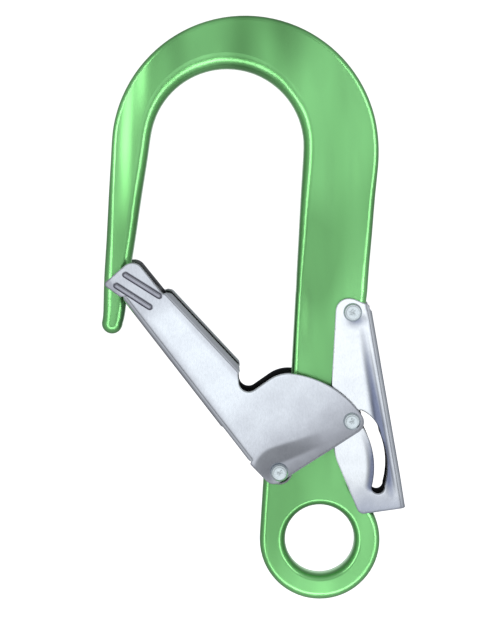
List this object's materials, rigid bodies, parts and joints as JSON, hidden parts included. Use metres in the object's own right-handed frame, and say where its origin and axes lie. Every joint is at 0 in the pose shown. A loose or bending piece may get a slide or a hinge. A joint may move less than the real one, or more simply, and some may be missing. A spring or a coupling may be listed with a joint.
{
  "type": "eye hook with latch",
  "caption": "Large-gape aluminium hook with a fixed attachment eye, a sprung double-plate gate across its mouth and a sprung locking lever at the back of the shank.",
  "frame": {"origin": "centre of the attachment eye, in the middle of the hook's thickness", "axes": "+Z from the eye to the crown of the bow; +X from the hook's mouth to its back; +Y through the thickness, along the eye's axis"},
  "size_m": [0.1273, 0.0246, 0.2447],
  "materials": {
    "anodised_body": "satin green anodised aluminium",
    "gate_sheet": "satin zinc-plated steel sheet",
    "lever_sheet": "satin zinc-plated steel sheet",
    "rivet_steel": "zinc-plated, lightly dimpled by the setting tool",
    "bush_steel": "turned steel",
    "spring_wire": "drawn spring wire"
  },
  "bodies": {
    "hook": {"hook_body": "anodised_body", "gate_spring_front": "spring_wire", "gate_spring_rear": "spring_wire", "lock_spring": "spring_wire"},
    "gate_arm": {"gate": "gate_sheet", "gate_pivot_rivet": "rivet_steel", "lock_stud_front": "rivet_steel", "lock_stud_rear": "rivet_steel", "gate_bush_front": "bush_steel", "gate_bush_rear": "bush_steel"},
    "locking_lever": {"lock_lever": "lever_sheet", "lock_pivot_rivet": "rivet_steel"}
  },
  "joints": [
    {"name": "gate_swing", "type": "hinge", "parent": "hook", "child": "gate_arm", "pos_m": [-0.01707, 0, 0.02957], "axis": [0, 1, 0], "range_deg": [0, 45], "stiffness_Nm_per_rad": 0.12, "springref_deg": -51.57, "deforming": ["gate_spring_front", "gate_spring_rear"]},
    {"name": "lock_press", "type": "hinge", "parent": "hook", "child": "locking_lever", "pos_m": [0.01348, 0, 0.09623], "axis": [0, 1, 0], "range_deg": [0, 8], "stiffness_Nm_per_rad": 0.25, "springref_deg": -28.65, "deforming": ["lock_spring"]}
  ]
}
